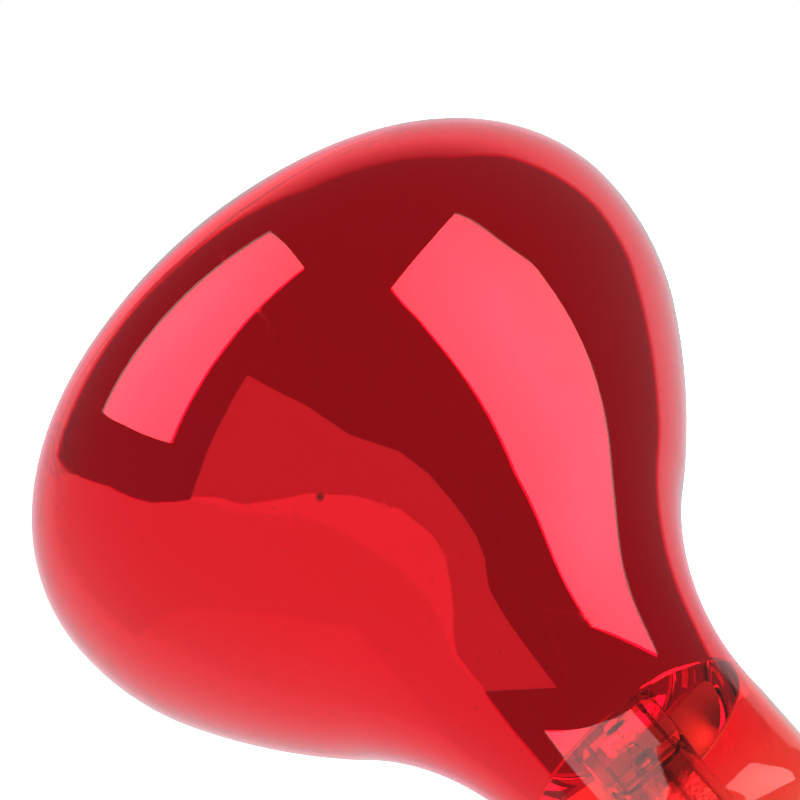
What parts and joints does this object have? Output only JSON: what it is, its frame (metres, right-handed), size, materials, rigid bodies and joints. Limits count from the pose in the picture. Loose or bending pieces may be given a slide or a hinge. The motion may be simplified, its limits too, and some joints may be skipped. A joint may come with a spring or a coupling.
{
  "type": "infrared heat lamp bulb",
  "caption": "Red glass reflector infrared heat lamp with a domed front, tapered mirrored body, clear neck and E27 screw base.",
  "frame": {"origin": "front of the glass dome, on the lamp's axis", "axes": "+Z along the lamp's axis from the domed front to the screw base; +X across the flat of the glass press, from the side lead to the fused lead"},
  "size_m": [0.125, 0.125, 0.181],
  "materials": {
    "ruby_glass": "polished",
    "mirror_film": "mirror, vacuum-deposited aluminium",
    "clear_glass": "fire-polished",
    "tungsten": "drawn wire",
    "molybdenum": "drawn wire",
    "nickel": "drawn wire",
    "sealing_alloy": "copper-clad wire",
    "copper": "bare wire",
    "deflector_metal": "satin",
    "ceramic_bead": "unglazed",
    "collar_steel": "plated",
    "shell_metal": "nickel-plated",
    "cement": "matte",
    "black_glass": "glossy, opaque",
    "contact_brass": "satin",
    "solder": "cast, slightly dull"
  },
  "bodies": {
    "root": {"glass_envelope": "ruby_glass", "reflector_coating": "mirror_film", "stem_tube": "clear_glass", "exhaust_tube": "clear_glass", "arbor_rod": "clear_glass", "filament": "tungsten", "filament_supports": "molybdenum", "filament_clamps": "nickel", "inner_lead_left": "nickel", "inner_lead_right": "nickel", "seal_wires": "sealing_alloy", "heat_deflector": "deflector_metal", "deflector_bushings": "ceramic_bead", "deflector_collar": "collar_steel", "outer_lead_side": "copper", "outer_lead_fused": "copper", "fuse_sleeve": "clear_glass", "fuse_link": "copper", "contact_lead": "copper", "screw_shell": "shell_metal", "basing_cement": "cement", "base_insulator": "black_glass", "contact_plate": "contact_brass", "contact_solder": "solder", "rim_solder": "solder"}
  },
  "joints": []
}
